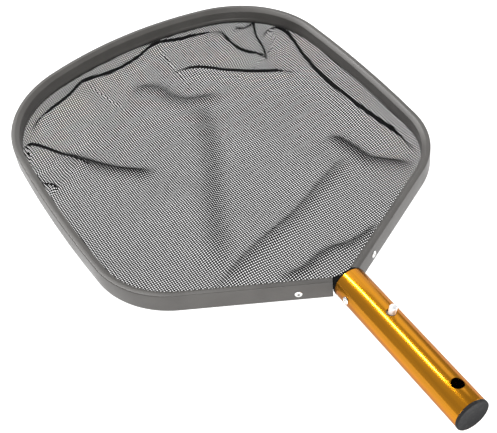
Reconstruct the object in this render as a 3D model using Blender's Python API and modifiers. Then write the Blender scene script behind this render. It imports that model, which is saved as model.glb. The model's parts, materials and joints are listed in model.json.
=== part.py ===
"""Leaf skimmer net: a flat pool skimmer with an aluminium frame, a fine mesh net and a short handle tube.

The design frame has its origin where the two front sides of the frame would meet, +Y towards the far
side of the net, +Z up, and the frame's underside at Z = 0. The whole skimmer hangs on one empty that
leans it by a degree, because it stands on the frame's far side and on the lower snap button.
"""

import math

import bmesh
import bpy
from mathutils import Matrix, Vector

MM = 0.001

# Frame outline: tangent line and arcs of the right half, outer face, millimetres and degrees
FRONT_HEADING = 28.6
FRONT_LENGTH = 138.7
WIDE_CORNER_RADIUS = 80.0
WIDE_CORNER_TURN = 57.7
SIDE_RADIUS = 1290.0
SIDE_TURN = 7.5
FAR_CORNER_RADIUS = 105.0
FAR_CORNER_TURN = 70.8
ARM_CUT = 14.2
DEGREES_PER_STEP = 5.5

# Frame rail section: distances in from the outer face, and heights
RAIL_HEIGHT = 18.0
RAIL_WIDTH = 7.8
RAIL_FLAT = 3.8
RAIL_DROP = 2.6
RAIL_WALL = 1.2
LIP_WIDTH = 8.8
GROOVE_LOW = 2.2
GROOVE_HIGH = 5.4
GROOVE_BACK = 5.9

# Net, its hem and the cord that holds it in the groove
CORD_RADIUS = 1.3
CORD_INSET = 7.5
FRONT_FILLET = 20.0
CORD_END_GAP = 1.5
HEM_INSET = 9.2
HEM_WIDTH = 2.6
NET_THICKNESS = 1.2
NET_RIM_TOP = 4.4
NET_RINGS = ((12.1, 4.4), (18.0, 2.9), (34.0, 1.9), (70.0, 1.7))

# Handle tube
TUBE_RADIUS = 14.3
TUBE_WALL = 1.2
TUBE_FRONT = 1.5
TUBE_LENGTH = 150.8
TUBE_HEIGHT = 14.5
TUBE_TURN = 9.0
END_HOLE_RADIUS = 5.25
END_HOLE_Y = -130.7
PLUG_FLANGE = 2.2
PLUG_RADIUS = 14.5
PLUG_BODY = 12.0

# Yoke that joins the frame to the handle tube
SPIGOT_RADIUS = 12.8
SPIGOT_BORE = 9.6
SPIGOT_LENGTH = 30.0
COLLAR_LENGTH = 1.2
COLLAR_LOW = 7.0
TONGUE_LENGTH = 52.0
YOKE_TOP = 16.9
YOKE_LOW = 7.0
YOKE_WIDTH = 6.9
YOKE_FOOT = 0.8
YOKE_NOTCH = 3.5
YOKE_NOTCH_Y = 10.7
YOKE_BACK = (12.6, 2.4)
FOOT_FRONT = (5.0, 8.6)
FOOT_HALF_WIDTH = 7.0
NECK_OVERLAP = (2.0, 2.5)
NECK_INSETS = (1.7, 4.0)
NECK_HEIGHTS = (7.4, 15.6)
GROOVE_CUT = (-1.7, 3.2)
FILLET_STEPS = 10

# Pop rivets
RIVET_SHANK = 1.6
RIVET_HEAD = 3.2
RIVET_DOME = 1.0
RIVET_BULB = 2.4
RIVET_BORE = 0.95
MANDREL_RADIUS = 0.8
ARM_RIVET_ALONG = 42.0
ARM_GRIP = 2.35
ARM_RIVET_HEIGHT = 7.4
HANDLE_RIVET_Y = -13.6

# V spring with a snap button on each leg
SPRING_WIDTH = 8.0
SPRING_THICKNESS = 0.9
BUTTON_Y = -51.4
LEG_REACH = 48.0
BEND_RADIUS = 3.2
PAD_BACK = 9.0
PAD_FRONT = 7.0
PAD_LEAN = 6.0
PAD_HEIGHT = 10.96
BUTTON_RADIUS = 3.2
BUTTON_LENGTH = 10.9
BUTTON_ROUNDING = 1.5
STEM_RADIUS = 1.6
BUTTON_HOLE_RADIUS = 4.05
BUTTON_HOLE_SHIFT = 0.27

# The skimmer stands on its far side and on the tip of the lower button
FAR_REACH = 406.3
TIP_DROP = 7.22
TIP_BACK = 1.2


def clear_scene():
    for old in list(bpy.data.objects):
        bpy.data.objects.remove(old, do_unlink=True)


def make_collection(name):
    made = bpy.data.collections.new(name)
    bpy.context.scene.collection.children.link(made)
    return made


def make_material(name, colour, roughness, metallic):
    made = bpy.data.materials.new(name)
    made.use_nodes = True
    shader = made.node_tree.nodes["Principled BSDF"]
    shader.inputs["Base Color"].default_value = (*colour, 1.0)
    shader.inputs["Roughness"].default_value = roughness
    shader.inputs["Metallic"].default_value = metallic
    return made


clear_scene()
PARTS = make_collection("leaf_skimmer_net")
CUTTERS = make_collection("cutters")
FRAME_PAINT = make_material("frame_paint", (0.155, 0.147, 0.135), 0.45, 0.3)
BLACK_NYLON = make_material("black_nylon", (0.012, 0.012, 0.013), 0.5, 0.0)
NET_FABRIC = make_material("net_fabric", (0.015, 0.015, 0.016), 0.7, 0.0)
GOLD_ANODISED = make_material("gold_anodised", (0.82, 0.45, 0.05), 0.22, 1.0)
BRIGHT_RIVET = make_material("bright_rivet", (0.85, 0.85, 0.84), 0.3, 1.0)
MANDREL_STEEL = make_material("mandrel_steel", (0.22, 0.21, 0.2), 0.45, 1.0)
SPRING_STEEL = make_material("spring_steel", (0.6, 0.6, 0.58), 0.35, 1.0)
BUTTON_METAL = make_material("button_metal", (0.88, 0.88, 0.88), 0.25, 0.6)


def add_object(name, data, collection=None):
    made = bpy.data.objects.new(name, data)
    (collection or PARTS).objects.link(made)
    return made


def add_empty(name, location, parent=None):
    made = add_object(name, None)
    made.location = Vector(location) * MM
    made.parent = parent
    return made


def finish(part, material, parent):
    """Give a piece its material, its parent and its shading."""
    part.data.materials.clear()
    part.data.materials.append(material)
    part.parent = parent
    part.data.shade_smooth()
    part.data.set_sharp_from_angle(angle=math.radians(35.0))


def hide_cutter(cutter):
    cutter.hide_render = True
    cutter.display_type = "WIRE"
    return cutter


def settle(part):
    """Turn a curve, or a mesh with modifiers, into a plain mesh with its caps welded."""
    bpy.context.view_layer.update()
    evaluated = part.evaluated_get(bpy.context.evaluated_depsgraph_get())
    mesh = bpy.data.meshes.new_from_object(evaluated)
    shape = bmesh.new()
    shape.from_mesh(mesh)
    bmesh.ops.remove_doubles(shape, verts=shape.verts, dist=1e-6)
    bmesh.ops.recalc_face_normals(shape, faces=shape.faces)
    shape.to_mesh(mesh)
    shape.free()
    name = part.name
    collection = part.users_collection[0]
    matrix = part.matrix_world.copy()
    bpy.data.objects.remove(part, do_unlink=True)
    settled = add_object(name, mesh, collection)
    settled.matrix_world = matrix
    return settled


def boolean(part, tool, operation):
    change = part.modifiers.new(tool.name, "BOOLEAN")
    change.operation = operation
    change.solver = "EXACT"
    change.object = tool


def flat_curve(name, points, collection, cyclic, depth=0.0):
    """A 2D poly curve through millimetre points, extruded to the given depth when it is closed."""
    data = bpy.data.curves.new(name, "CURVE")
    data.dimensions = "2D"
    data.fill_mode = "BOTH"
    data.extrude = depth * MM / 2
    spline = data.splines.new("POLY")
    spline.points.add(len(points) - 1)
    for point, (x, y) in zip(spline.points, points):
        point.co = (x * MM, y * MM, 0.0, 1.0)
    spline.use_cyclic_u = cyclic
    return add_object(name, data, collection)


def turned(name, profile, steps, collection=None):
    """A turned piece about +Z: (radius, height) points running from the top of the outside down."""
    mesh = bpy.data.meshes.new(name)
    points = [(radius * MM, 0.0, height * MM) for radius, height in profile]
    edges = [(i, i + 1) for i in range(len(points) - 1)]
    if profile[0][0] > 0.0:
        edges.append((len(points) - 1, 0))
    mesh.from_pydata(points, edges, [])
    part = add_object(name, mesh, collection)
    screw = part.modifiers.new("turn", "SCREW")
    screw.steps = steps
    screw.render_steps = steps
    screw.use_merge_vertices = True
    screw.merge_threshold = 0.00001
    screw.use_normal_calculate = True
    return settle(part)


def cylinder(name, radius, length, sides, collection):
    mesh = bpy.data.meshes.new(name)
    shape = bmesh.new()
    bmesh.ops.create_cone(
        shape, cap_ends=True, segments=sides, radius1=radius * MM, radius2=radius * MM, depth=length * MM
    )
    shape.to_mesh(mesh)
    shape.free()
    return add_object(name, mesh, collection)


def box(name, low, high, collection):
    mesh = bpy.data.meshes.new(name)
    shape = bmesh.new()
    bmesh.ops.create_cube(shape, size=1.0)
    size = (Vector(high) - Vector(low)) * MM
    middle = (Vector(high) + Vector(low)) * MM / 2
    matrix = Matrix.Translation(middle) @ Matrix.Diagonal((*size, 1.0))
    bmesh.ops.transform(shape, matrix=matrix, verts=shape.verts)
    shape.to_mesh(mesh)
    shape.free()
    return add_object(name, mesh, collection)


# ---------------------------------------------------------------------------------------------
# Outline
# ---------------------------------------------------------------------------------------------


def half_outline(inset, start):
    """Points of the right half from the arm's cut end round to the middle of the far side."""
    heading = math.radians(FRONT_HEADING)
    along = Vector((math.cos(heading), math.sin(heading)))
    inward = Vector((-math.sin(heading), math.cos(heading)))
    corner = along * FRONT_LENGTH + inward * inset
    points = [along * start + inward * inset, corner.copy()]
    turns = (
        (WIDE_CORNER_RADIUS, math.radians(WIDE_CORNER_TURN)),
        (SIDE_RADIUS, math.radians(SIDE_TURN)),
        (FAR_CORNER_RADIUS, math.radians(FAR_CORNER_TURN)),
        (0.0, 0.0),
    )
    for radius, turn in turns:
        if radius == 0.0:
            turn = math.pi - heading
            radius = points[-1].x / math.sin(turn) + inset
        steps = max(2, round(math.degrees(turn) / DEGREES_PER_STEP))
        inward = Vector((-math.sin(heading), math.cos(heading)))
        centre = points[-1] + inward * (radius - inset)
        for step in range(1, steps + 1):
            angle = heading + turn * step / steps
            spoke = Vector((math.sin(angle), -math.cos(angle)))
            points.append(centre + spoke * (radius - inset))
        heading += turn
    return points


def outline(inset, start=ARM_CUT):
    """Points from the right arm's end round the net to the left arm's end."""
    right = half_outline(inset, start)
    left = [Vector((-point.x, point.y)) for point in reversed(right[:-1])]
    return right + left


def closed_outline(inset):
    """The outline with its front closed by a fillet between the two front sides."""
    heading = math.radians(FRONT_HEADING)
    reach = FRONT_FILLET * math.tan(heading) + inset * math.tan(heading)
    points = outline(inset, reach)
    middle = Vector((0.0, inset / math.cos(heading) + FRONT_FILLET / math.cos(heading)))
    for step in range(1, FILLET_STEPS):
        angle = -heading + 2.0 * heading * step / FILLET_STEPS
        points.append(middle + Vector((math.sin(angle), -math.cos(angle))) * FRONT_FILLET)
    return points


def sweep(name, path, section, collection):
    """Sweep a closed section, given as (inset, height) points, along an open outline.

    A bevel section's +X points away from the net, so insets are negative there.
    """
    guide = flat_curve(name + "_section", [(-inset, height) for inset, height in section], CUTTERS, True)
    rail = flat_curve(name, path, collection, False)
    rail.data.dimensions = "3D"
    rail.data.fill_mode = "FULL"
    rail.data.twist_mode = "Z_UP"
    rail.data.bevel_mode = "OBJECT"
    rail.data.bevel_object = guide
    rail.data.use_fill_caps = True
    swept = settle(rail)
    bpy.data.objects.remove(guide, do_unlink=True)
    return swept


# ---------------------------------------------------------------------------------------------
# Frame, net and cord
# ---------------------------------------------------------------------------------------------


def make_frame_rail(root):
    rounding = 0.9
    section = [
        (0.0, 0.4),
        (0.0, RAIL_HEIGHT - rounding),
        (0.3 * rounding, RAIL_HEIGHT - 0.3 * rounding),
        (rounding, RAIL_HEIGHT),
        (RAIL_FLAT, RAIL_HEIGHT),
        (RAIL_WIDTH - rounding, RAIL_HEIGHT - RAIL_DROP + 0.25),
        (RAIL_WIDTH, RAIL_HEIGHT - RAIL_DROP - 0.5),
        (RAIL_WIDTH, GROOVE_HIGH + RAIL_WALL + 0.6),
        (LIP_WIDTH, GROOVE_HIGH + RAIL_WALL - 0.4),
        (LIP_WIDTH, GROOVE_HIGH),
        (GROOVE_BACK, GROOVE_HIGH),
        (GROOVE_BACK, GROOVE_LOW),
        (LIP_WIDTH, GROOVE_LOW),
        (LIP_WIDTH, 0.4),
        (LIP_WIDTH - 0.4, 0.0),
        (0.4, 0.0),
    ]
    hollow = [
        (RAIL_WALL, RAIL_WALL),
        (RAIL_WALL, RAIL_HEIGHT - RAIL_WALL),
        (RAIL_FLAT - 0.3, RAIL_HEIGHT - RAIL_WALL),
        (RAIL_WIDTH - RAIL_WALL, RAIL_HEIGHT - RAIL_DROP - RAIL_WALL + 0.4),
        (RAIL_WIDTH - RAIL_WALL, GROOVE_HIGH + RAIL_WALL),
        (GROOVE_BACK - RAIL_WALL, GROOVE_HIGH + RAIL_WALL),
        (GROOVE_BACK - RAIL_WALL, RAIL_WALL),
    ]
    rail = sweep("frame_rail", outline(0.0), section, PARTS)
    inside = hide_cutter(sweep("rail_hollow", outline(0.0, ARM_CUT - 4.0), hollow, CUTTERS))
    boolean(rail, inside, "DIFFERENCE")
    for side in (-1, 1):
        hole = arm_cylinder("rail_rivet_hole", side, RIVET_SHANK + 0.15, -2.0, 3.0)
        boolean(rail, hole, "DIFFERENCE")
    finish(rail, FRAME_PAINT, root)


def arm_matrix(side, along, inset, height):
    """A frame on an arm whose +Z runs inward through the arm's wall."""
    heading = math.radians(FRONT_HEADING)
    along_arm = Vector((side * math.cos(heading), math.sin(heading), 0.0))
    inward = Vector((-side * math.sin(heading), math.cos(heading), 0.0))
    up = Vector((0.0, 0.0, 1.0))
    place = along_arm * along + inward * inset + up * height
    matrix = Matrix((up.cross(inward), up, inward)).transposed().to_4x4()
    matrix.translation = place * MM
    return matrix


def arm_cylinder(name, side, radius, start, end):
    """A cutter through an arm at its rivet, from one inset to another."""
    tool = cylinder(name, radius, end - start, 24, CUTTERS)
    tool.matrix_world = arm_matrix(side, ARM_RIVET_ALONG, (start + end) / 2, ARM_RIVET_HEIGHT)
    return hide_cutter(tool)


def make_cord(root):
    path = closed_outline(CORD_INSET)
    front = len(path) - 5
    path = path[front:] + path[:front]
    first = path[0] + (path[1] - path[0]).normalized() * CORD_END_GAP
    last = path[0] + (path[-1] - path[0]).normalized() * CORD_END_GAP
    path = [first] + path[1:] + [last]
    cord = flat_curve("net_cord", path, PARTS, False)
    cord.data.dimensions = "3D"
    cord.data.fill_mode = "FULL"
    cord.data.twist_mode = "Z_UP"
    cord.data.bevel_depth = CORD_RADIUS * MM
    cord.data.bevel_resolution = 2
    cord.data.use_fill_caps = True
    cord.location.z = (GROOVE_LOW + GROOVE_HIGH) / 2 * MM
    finish(settle(cord), BLACK_NYLON, root)


def ring_surface(name, rings, close):
    """An open surface through closed rings of points, all with the same number of points."""
    mesh = bpy.data.meshes.new(name)
    shape = bmesh.new()
    loops = [[shape.verts.new(Vector(point) * MM) for point in ring] for ring in rings]
    for outer, inner in zip(loops, loops[1:]):
        for i, vert in enumerate(outer):
            j = (i + 1) % len(outer)
            shape.faces.new((vert, outer[j], inner[j], inner[i]))
    if close:
        shape.faces.new(loops[-1])
    shape.to_mesh(mesh)
    shape.free()
    return add_object(name, mesh)


def add_thickness(part, thickness):
    shell = part.modifiers.new("thickness", "SOLIDIFY")
    shell.thickness = thickness * MM
    shell.offset = -1.0


def make_net(root):
    rings = [[(point.x, point.y, height) for point in closed_outline(inset)] for inset, height in NET_RINGS]
    net = ring_surface("net_mesh", rings, True)
    add_thickness(net, NET_THICKNESS)
    finish(net, NET_FABRIC, root)


def make_hem(root):
    rings = [
        [(point.x, point.y, NET_RIM_TOP) for point in closed_outline(inset)]
        for inset in (HEM_INSET, HEM_INSET + HEM_WIDTH)
    ]
    hem = ring_surface("net_hem", rings, False)
    add_thickness(hem, NET_THICKNESS)
    finish(hem, NET_FABRIC, root)


# ---------------------------------------------------------------------------------------------
# Yoke
# ---------------------------------------------------------------------------------------------


def prism(name, points, low, high):
    """An outline in plan, standing between two heights."""
    curve = flat_curve(name, points, CUTTERS, True, high - low)
    curve.location.z = (low + high) / 2 * MM
    return hide_cutter(settle(curve))


def make_tongue(side):
    """The stepped bar that fills one end of the hollow rail."""
    gap = 0.35
    step = GROOVE_HIGH + RAIL_WALL + gap
    section = [
        (RAIL_WALL + gap, RAIL_WALL + gap),
        (RAIL_WALL + gap, RAIL_HEIGHT - RAIL_WALL - gap),
        (RAIL_FLAT - 0.6, RAIL_HEIGHT - RAIL_WALL - gap),
        (RAIL_WIDTH - RAIL_WALL - gap, RAIL_HEIGHT - RAIL_DROP - RAIL_WALL - 0.1),
        (RAIL_WIDTH - RAIL_WALL - gap, step),
        (GROOVE_BACK - RAIL_WALL - gap, step),
        (GROOVE_BACK - RAIL_WALL - gap, RAIL_WALL + gap),
    ]
    start = ARM_CUT + 0.5
    bar = flat_curve("yoke_tongue", section, CUTTERS, True, TONGUE_LENGTH)
    heading = math.radians(FRONT_HEADING)
    along = Vector((side * math.cos(heading), math.sin(heading), 0.0))
    inward = Vector((-side * math.sin(heading), math.cos(heading), 0.0))
    up = Vector((0.0, 0.0, 1.0))
    matrix = Matrix((inward, up, inward.cross(up))).transposed().to_4x4()
    matrix.translation = along * (start + TONGUE_LENGTH / 2) * MM
    bar.matrix_world = matrix
    return hide_cutter(settle(bar))


def make_neck(side):
    """Joins the bridge to a tongue, above the open corner under the bridge."""
    heading = math.radians(FRONT_HEADING)
    along = Vector((math.cos(heading), math.sin(heading)))
    inward = Vector((-math.sin(heading), math.cos(heading)))
    start = ARM_CUT - NECK_OVERLAP[0]
    end = ARM_CUT + NECK_OVERLAP[1]
    low, high = NECK_INSETS
    corners = [
        along * distance + inward * inset
        for distance, inset in ((start, low), (end, low), (end, high), (start, high))
    ]
    return prism("yoke_neck", [(side * x, y) for x, y in corners], *NECK_HEIGHTS)


def make_yoke(root, handle):
    heading = math.radians(FRONT_HEADING)
    along = Vector((math.cos(heading), math.sin(heading)))
    inward = Vector((-math.sin(heading), math.cos(heading)))
    face_gap = 0.35
    outer = along * (ARM_CUT - face_gap) + inward * 0.5
    inner = along * (ARM_CUT - face_gap) + inward * YOKE_WIDTH
    collar_back = TUBE_FRONT + 0.3 + COLLAR_LENGTH
    barrel = turned(
        "yoke",
        [
            (5.0, collar_back + 6.0),
            (TUBE_RADIUS - 2.0, collar_back + 0.3),
            (TUBE_RADIUS - 0.5, collar_back),
            (TUBE_RADIUS - 0.2, collar_back - 0.3),
            (TUBE_RADIUS - 0.2, TUBE_FRONT + 0.3),
            (SPIGOT_RADIUS, TUBE_FRONT + 0.3),
            (SPIGOT_RADIUS, TUBE_FRONT - SPIGOT_LENGTH + 0.8),
            (SPIGOT_RADIUS - 0.8, TUBE_FRONT - SPIGOT_LENGTH),
            (SPIGOT_BORE, TUBE_FRONT - SPIGOT_LENGTH),
            (SPIGOT_BORE, TUBE_FRONT),
            (5.0, TUBE_FRONT + 1.5),
        ],
        48,
    )
    raised = Matrix.Translation((0.0, 0.0, TUBE_HEIGHT * MM))
    barrel.matrix_world = raised @ Matrix.Rotation(-math.pi / 2, 4, "X")
    bridge = prism(
        "yoke_bridge",
        [
            (-YOKE_BACK[0], YOKE_BACK[1]),
            YOKE_BACK,
            tuple(outer),
            tuple(inner),
            (YOKE_NOTCH, YOKE_NOTCH_Y),
            (-YOKE_NOTCH, YOKE_NOTCH_Y),
            (-inner.x, inner.y),
            (-outer.x, outer.y),
        ],
        YOKE_LOW,
        YOKE_TOP,
    )
    foot = prism(
        "yoke_foot",
        [
            (-FOOT_FRONT[0], FOOT_FRONT[1]),
            FOOT_FRONT,
            (FOOT_HALF_WIDTH, inner.y),
            (-FOOT_HALF_WIDTH, inner.y),
        ],
        YOKE_FOOT,
        YOKE_LOW + 1.0,
    )
    necks = [make_neck(side) for side in (-1, 1)]
    below = box(
        "collar_cut",
        (-TUBE_RADIUS, TUBE_FRONT + 0.3, -1.0),
        (TUBE_RADIUS, collar_back + 10.0, COLLAR_LOW),
        CUTTERS,
    )
    boolean(barrel, hide_cutter(below), "DIFFERENCE")
    for tool in (bridge, foot, *necks, make_tongue(-1), make_tongue(1)):
        boolean(barrel, tool, "UNION")
    ring = closed_outline(CORD_INSET)
    groove_path = ring[:1] + ring[: -FILLET_STEPS - 1 : -1]
    back, reach = GROOVE_CUT
    groove = sweep(
        "yoke_groove",
        groove_path,
        [(back, GROOVE_LOW), (reach, GROOVE_LOW), (reach, GROOVE_HIGH), (back, GROOVE_HIGH)],
        CUTTERS,
    )
    boolean(barrel, hide_cutter(groove), "DIFFERENCE")
    for side in (-1, 1):
        shank_hole = arm_cylinder("tongue_rivet_hole", side, RIVET_SHANK + 0.15, 0.5, 8.0)
        bulb_pocket = arm_cylinder("tongue_rivet_pocket", side, RIVET_BULB + 0.3, ARM_GRIP, 8.0)
        boolean(barrel, shank_hole, "DIFFERENCE")
        boolean(barrel, bulb_pocket, "DIFFERENCE")
        hole = cylinder("spigot_rivet_hole", RIVET_SHANK + 0.15, 8.0, 24, CUTTERS)
        hole.parent = handle
        hole.matrix_local = handle_rivet_matrix(side, SPIGOT_RADIUS - 2.0)
        boolean(barrel, hide_cutter(hole), "DIFFERENCE")
    finish(barrel, BLACK_NYLON, root)


# ---------------------------------------------------------------------------------------------
# Handle
# ---------------------------------------------------------------------------------------------


def handle_rivet_matrix(side, radius):
    """A frame in the handle's own frame whose +Z runs inward through the tube's wall."""
    matrix = Matrix.Rotation(-side * math.pi / 2, 4, "Y")
    matrix.translation = Vector((side * radius, HANDLE_RIVET_Y, 0.0)) * MM
    return matrix


def radial_cutter(name, radius, y, handle):
    """A cutter right across the tube, along the handle's own Z."""
    tool = cylinder(name, radius, 4.0 * TUBE_RADIUS, 32, CUTTERS)
    tool.parent = handle
    tool.location.y = y * MM
    return hide_cutter(tool)


def make_tube(handle):
    inner = TUBE_RADIUS - TUBE_WALL
    chamfer = 0.3
    tube = turned(
        "handle_tube",
        [
            (TUBE_RADIUS, -chamfer),
            (TUBE_RADIUS, chamfer - TUBE_LENGTH),
            (TUBE_RADIUS - chamfer, -TUBE_LENGTH),
            (inner, -TUBE_LENGTH),
            (inner, 0.0),
            (TUBE_RADIUS - chamfer, 0.0),
        ],
        64,
    )
    tube.parent = handle
    tube.rotation_euler.x = -math.pi / 2
    tube.location.y = TUBE_FRONT * MM
    holes = (
        ("button_holes", BUTTON_HOLE_RADIUS, BUTTON_Y + BUTTON_HOLE_SHIFT),
        ("end_holes", END_HOLE_RADIUS, END_HOLE_Y),
    )
    for name, radius, y in holes:
        boolean(tube, radial_cutter(name, radius, y, handle), "DIFFERENCE")
    across = cylinder("tube_rivet_holes", RIVET_SHANK + 0.15, 4.0 * TUBE_RADIUS, 24, CUTTERS)
    across.parent = handle
    across.matrix_local = handle_rivet_matrix(1, 0.0)
    boolean(tube, hide_cutter(across), "DIFFERENCE")
    finish(tube, GOLD_ANODISED, handle)


def make_plug(handle):
    body = TUBE_RADIUS - TUBE_WALL - 0.3
    bore = body - 1.8
    rounding = 0.6
    profile = [
        (body - 0.8, PLUG_BODY),
        (body, PLUG_BODY - 0.8),
        (body, 0.0),
        (PLUG_RADIUS - 0.3, 0.0),
        (PLUG_RADIUS, -0.3),
        (PLUG_RADIUS, rounding - PLUG_FLANGE),
        (PLUG_RADIUS - 0.2 * rounding, 0.4 * rounding - PLUG_FLANGE),
        (PLUG_RADIUS - rounding, -PLUG_FLANGE),
        (0.0, -PLUG_FLANGE),
    ]
    inside = [(0.0, 0.0), (bore, 0.0), (bore, PLUG_BODY)]
    plug = turned("end_plug", list(reversed(inside + profile)), 48)
    plug.parent = handle
    plug.rotation_euler.x = -math.pi / 2
    plug.location.y = (TUBE_FRONT - TUBE_LENGTH - 0.1) * MM
    finish(plug, BLACK_NYLON, handle)


def make_rivet(label, parent, matrix, grip):
    """A pop rivet and its broken mandrel. +Z runs inward from the underside of the head."""
    seat = -0.1
    blind = grip + 1.6
    sleeve = turned(
        label + "_sleeve",
        [
            (RIVET_BORE, blind),
            (RIVET_BULB - 0.6, blind),
            (RIVET_BULB, blind - 0.6),
            (RIVET_BULB - 0.3, grip + 0.2),
            (RIVET_SHANK, grip + 0.2),
            (RIVET_SHANK, seat),
            (RIVET_HEAD - 0.1, seat),
            (RIVET_HEAD, seat - 0.2),
            (0.86 * RIVET_HEAD, seat - 0.55 * RIVET_DOME),
            (0.6 * RIVET_HEAD, seat - 0.9 * RIVET_DOME),
            (RIVET_BORE + 0.25, seat - RIVET_DOME),
            (RIVET_BORE, seat - RIVET_DOME + 0.2),
        ],
        16,
    )
    mandrel = turned(
        label + "_mandrel",
        [
            (0.0, blind + 0.4),
            (1.0, blind + 0.35),
            (1.25, blind + 0.12),
            (MANDREL_RADIUS, blind + 0.12),
            (MANDREL_RADIUS, seat - 0.35),
            (0.0, seat - 0.45),
        ],
        16,
    )
    for piece, material in ((sleeve, BRIGHT_RIVET), (mandrel, MANDREL_STEEL)):
        finish(piece, material, parent)
        piece.matrix_local = matrix


def make_rivets(root, handle):
    handle_grip = TUBE_RADIUS - SPIGOT_BORE + 0.2
    for side, word in ((-1, "left"), (1, "right")):
        arm_place = arm_matrix(side, ARM_RIVET_ALONG, 0.0, ARM_RIVET_HEIGHT)
        make_rivet("arm_rivet_" + word, root, arm_place, ARM_GRIP)
        make_rivet("handle_rivet_" + word, handle, handle_rivet_matrix(side, TUBE_RADIUS), handle_grip)


# ---------------------------------------------------------------------------------------------
# V spring and snap buttons
# ---------------------------------------------------------------------------------------------


def strip(name, centre_line):
    """A flat strip of spring steel whose side view follows (along, out) points."""
    points = [Vector(point) for point in centre_line]
    outer = []
    inner = []
    for i, point in enumerate(points):
        before = points[max(i - 1, 0)]
        after = points[min(i + 1, len(points) - 1)]
        way = (after - before).normalized()
        normal = Vector((-way.y, way.x)) * SPRING_THICKNESS / 2
        outer.append(point + normal)
        inner.append(point - normal)
    curve = flat_curve(name, outer + inner[::-1], PARTS, True, SPRING_WIDTH)
    return settle(curve)


def side_view_matrix():
    """Takes the strip's side view, drawn in XY, to along = +Y and out = +Z of the handle."""
    return Matrix(((0.0, 0.0, 1.0, 0.0), (1.0, 0.0, 0.0, 0.0), (0.0, 1.0, 0.0, 0.0), (0.0, 0.0, 0.0, 1.0)))


def leg_line():
    """Side view of a leg from its root, which is the origin, to its free end."""
    lean = math.tan(math.radians(PAD_LEAN))
    pad = PAD_HEIGHT - BEND_RADIUS
    return [
        (0.2, 0.0),
        (LEG_REACH - PAD_BACK, pad - PAD_BACK * lean),
        (LEG_REACH, pad),
        (LEG_REACH + PAD_FRONT, pad + PAD_FRONT * lean),
    ]


def make_spring_bend(handle):
    line = []
    steps = 12
    for step in range(steps + 1):
        angle = math.pi / 2 + math.pi * step / steps
        line.append((BEND_RADIUS * math.cos(angle) - 0.2, BEND_RADIUS * math.sin(angle)))
    bend = strip("snap_spring_bend", line)
    bend.data.transform(side_view_matrix())
    finish(bend, SPRING_STEEL, handle)
    bend.matrix_local = Matrix.Translation((0.0, (BUTTON_Y - LEG_REACH) * MM, 0.0))


def make_snap(word, side, handle):
    """One leg of the V spring with its button, on the hinge at the leg's root."""
    root_y = BUTTON_Y - LEG_REACH
    hinge = add_empty("snap_hinge_" + word, (0.0, root_y, side * BEND_RADIUS), handle)
    hinge.rotation_euler.y = 0.0 if side > 0 else math.pi

    pad = Vector((0.0, LEG_REACH, PAD_HEIGHT - BEND_RADIUS)) * MM
    seat = Matrix.Translation(pad) @ Matrix.Rotation(math.radians(PAD_LEAN), 4, "X")

    leg = strip("snap_leg_" + word, leg_line())
    leg.data.transform(side_view_matrix())
    finish(leg, SPRING_STEEL, hinge)
    leg.matrix_local = Matrix.Identity(4)
    hole = cylinder("leg_stem_hole_" + word, STEM_RADIUS + 0.15, 4.0, 24, CUTTERS)
    hole.parent = hinge
    hole.matrix_local = seat
    boolean(leg, hide_cutter(hole), "DIFFERENCE")

    face = SPRING_THICKNESS / 2 + 0.1
    edge = BUTTON_RADIUS - BUTTON_ROUNDING
    top = [(0.0, BUTTON_LENGTH)]
    steps = 5
    for step in range(steps + 1):
        angle = math.pi / 2 * (1.0 - step / steps)
        along = BUTTON_LENGTH - BUTTON_ROUNDING - 0.15 + BUTTON_ROUNDING * math.sin(angle)
        top.append((edge + BUTTON_ROUNDING * math.cos(angle), along))
    button = turned(
        "snap_button_" + word,
        top
        + [
            (BUTTON_RADIUS, face),
            (STEM_RADIUS, face),
            (STEM_RADIUS, -face),
            (2.7, -face),
            (2.5, -face - 0.7),
            (0.0, -face - 0.9),
        ],
        24,
    )
    finish(button, BUTTON_METAL, hinge)
    button.matrix_local = seat


# ---------------------------------------------------------------------------------------------
# Assembly
# ---------------------------------------------------------------------------------------------


def place_root(root):
    """Lean the skimmer onto its far side and its lower button, with the middle of its length at Y = 0."""
    lean = math.atan(TIP_DROP / (FAR_REACH - BUTTON_Y + TIP_BACK))
    far = FAR_REACH * math.cos(lean) + RAIL_HEIGHT * math.sin(lean)
    near_end = TUBE_FRONT - TUBE_LENGTH - 0.1 - PLUG_FLANGE
    near = near_end * math.cos(lean)
    root.rotation_euler.x = -lean
    root.location = Vector((0.0, -(far + near) / 2, FAR_REACH * math.sin(lean))) * MM


def build():
    root = add_empty("skimmer_net", (0.0, 0.0, 0.0))
    handle = add_empty("handle", (0.0, 0.0, TUBE_HEIGHT), root)
    handle.rotation_euler.y = math.radians(TUBE_TURN)
    bpy.context.view_layer.update()
    make_frame_rail(root)
    make_net(root)
    make_hem(root)
    make_cord(root)
    make_yoke(root, handle)
    make_tube(handle)
    make_plug(handle)
    make_rivets(root, handle)
    make_spring_bend(handle)
    make_snap("upper", 1, handle)
    make_snap("lower", -1, handle)
    for cutter in CUTTERS.objects:
        if cutter.parent is None:
            cutter.parent = root
    place_root(root)
    bpy.context.view_layer.update()


build()
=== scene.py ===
"""Looks of the leaf skimmer net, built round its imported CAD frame."""

import json
import math

import bmesh
import bpy
import numpy as np
from mathutils import Matrix, Vector
from mathutils.geometry import delaunay_2d_cdt


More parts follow.
